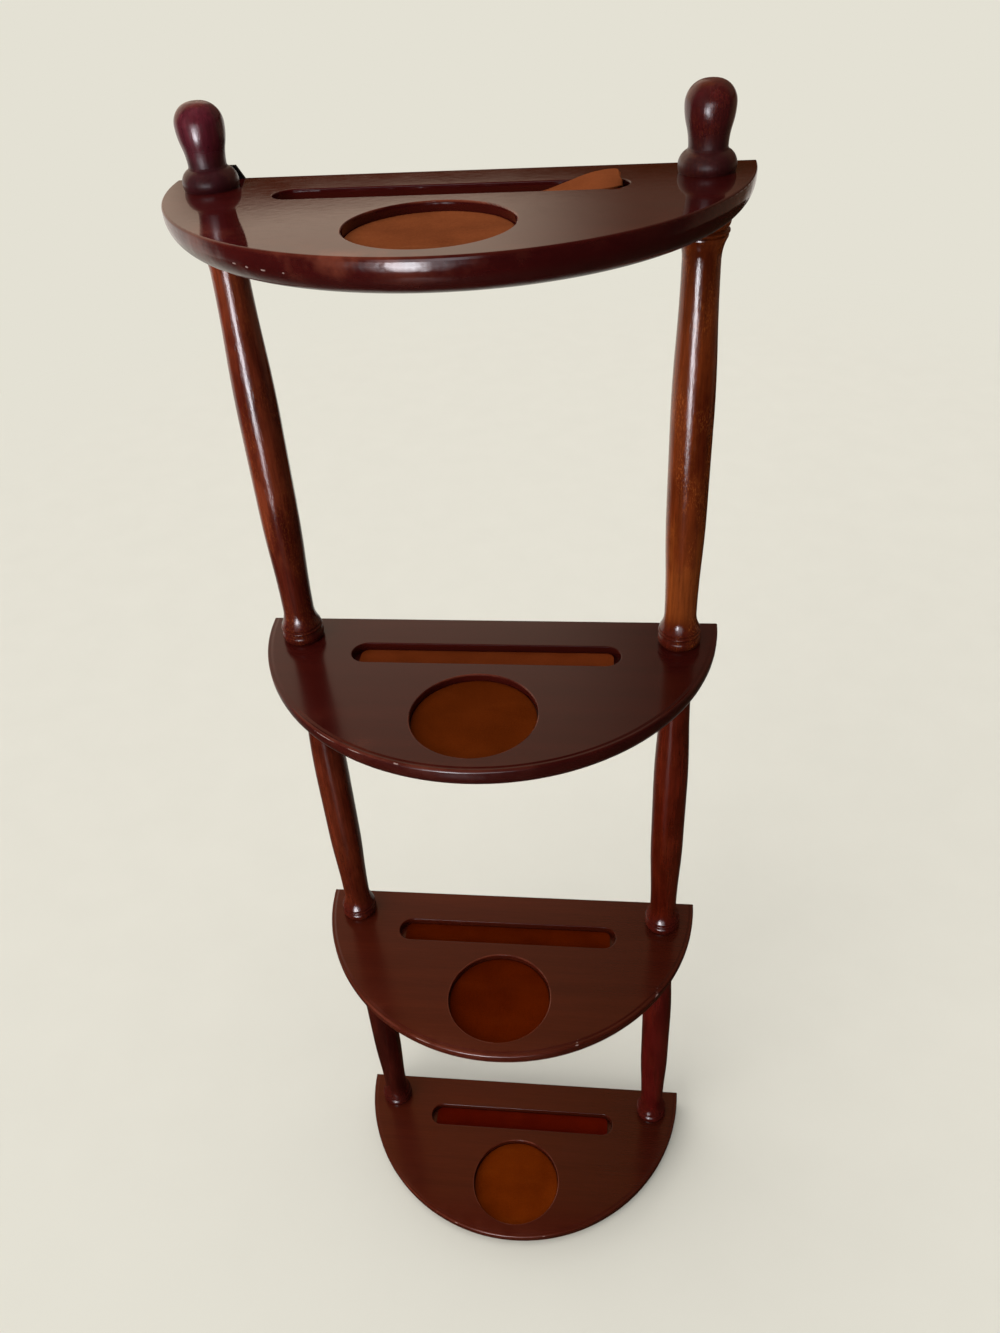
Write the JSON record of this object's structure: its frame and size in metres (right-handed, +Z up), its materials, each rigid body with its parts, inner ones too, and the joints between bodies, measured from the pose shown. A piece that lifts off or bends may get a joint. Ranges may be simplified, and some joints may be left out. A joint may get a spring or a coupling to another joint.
{
  "type": "wall shelf",
  "caption": "Half-round wooden wall shelf on turned spindles, with lined recesses for cups, grooves for upright saucers, finials and hangers.",
  "frame": {"origin": "middle of the shelf's plan, on the surface that the bottom shelf stands on", "axes": "+Z up along the spindles, +X to the right seen from the front, +Y towards the wall"},
  "size_m": [0.228, 0.1124, 0.6847],
  "materials": {
    "mahogany": "satin lacquer",
    "suede": "matte suede cloth",
    "steel": "plain",
    "black_metal": "satin"
  },
  "bodies": {
    "root": {"bottom_shelf": "mahogany", "bottom_cup_pad": "suede", "bottom_saucer_strip": "suede", "third_shelf": "mahogany", "third_cup_pad": "suede", "third_saucer_strip": "suede", "second_shelf": "mahogany", "second_cup_pad": "suede", "second_saucer_strip": "suede", "top_shelf": "mahogany", "top_cup_pad": "suede", "top_saucer_strip": "suede", "bottom_left_spindle": "mahogany", "middle_left_spindle": "mahogany", "top_left_spindle": "mahogany", "left_finial": "mahogany", "third_left_stud": "steel", "second_left_stud": "steel", "top_left_stud": "steel", "bottom_left_screw": "steel", "left_hanger": "black_metal", "left_hanger_outer_screw": "black_metal", "left_hanger_inner_screw": "black_metal", "bottom_right_spindle": "mahogany", "middle_right_spindle": "mahogany", "top_right_spindle": "mahogany", "right_finial": "mahogany", "third_right_stud": "steel", "second_right_stud": "steel", "top_right_stud": "steel", "bottom_right_screw": "steel", "right_hanger": "black_metal", "right_hanger_outer_screw": "black_metal", "right_hanger_inner_screw": "black_metal"}
  },
  "joints": []
}
